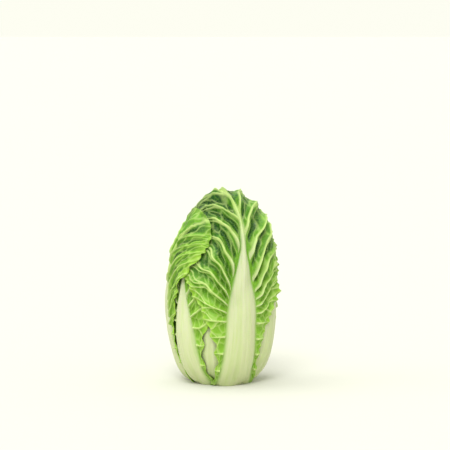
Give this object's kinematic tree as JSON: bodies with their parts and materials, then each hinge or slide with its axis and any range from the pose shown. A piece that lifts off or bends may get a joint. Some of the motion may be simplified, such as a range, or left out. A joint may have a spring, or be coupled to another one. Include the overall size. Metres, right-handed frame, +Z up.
{
  "type": "napa cabbage",
  "caption": "Whole napa cabbage head: a dense heart wrapped in overlapping leaves with broad white ribs, side veins and waved edges, standing on its cut stem.",
  "frame": {"origin": "middle of the stem's cut face, on the plane the head stands on", "axes": "+Z up along the head to its crown; -Y is the front, where the widest visible rib stands a little to the right"},
  "size_m": [0.1552, 0.1565, 0.2663],
  "materials": {
    "stem": "moist cut stem, cream white",
    "heart": "pale yellow-green young leaves",
    "leaf": "waxy green blade, cream white rib"
  },
  "bodies": {
    "root": {"stem": "stem", "heart": "heart", "leaf_1": "leaf", "leaf_2": "leaf", "leaf_3": "leaf", "leaf_4": "leaf", "leaf_5": "leaf", "leaf_6": "leaf", "leaf_7": "leaf", "leaf_8": "leaf"}
  },
  "joints": []
}
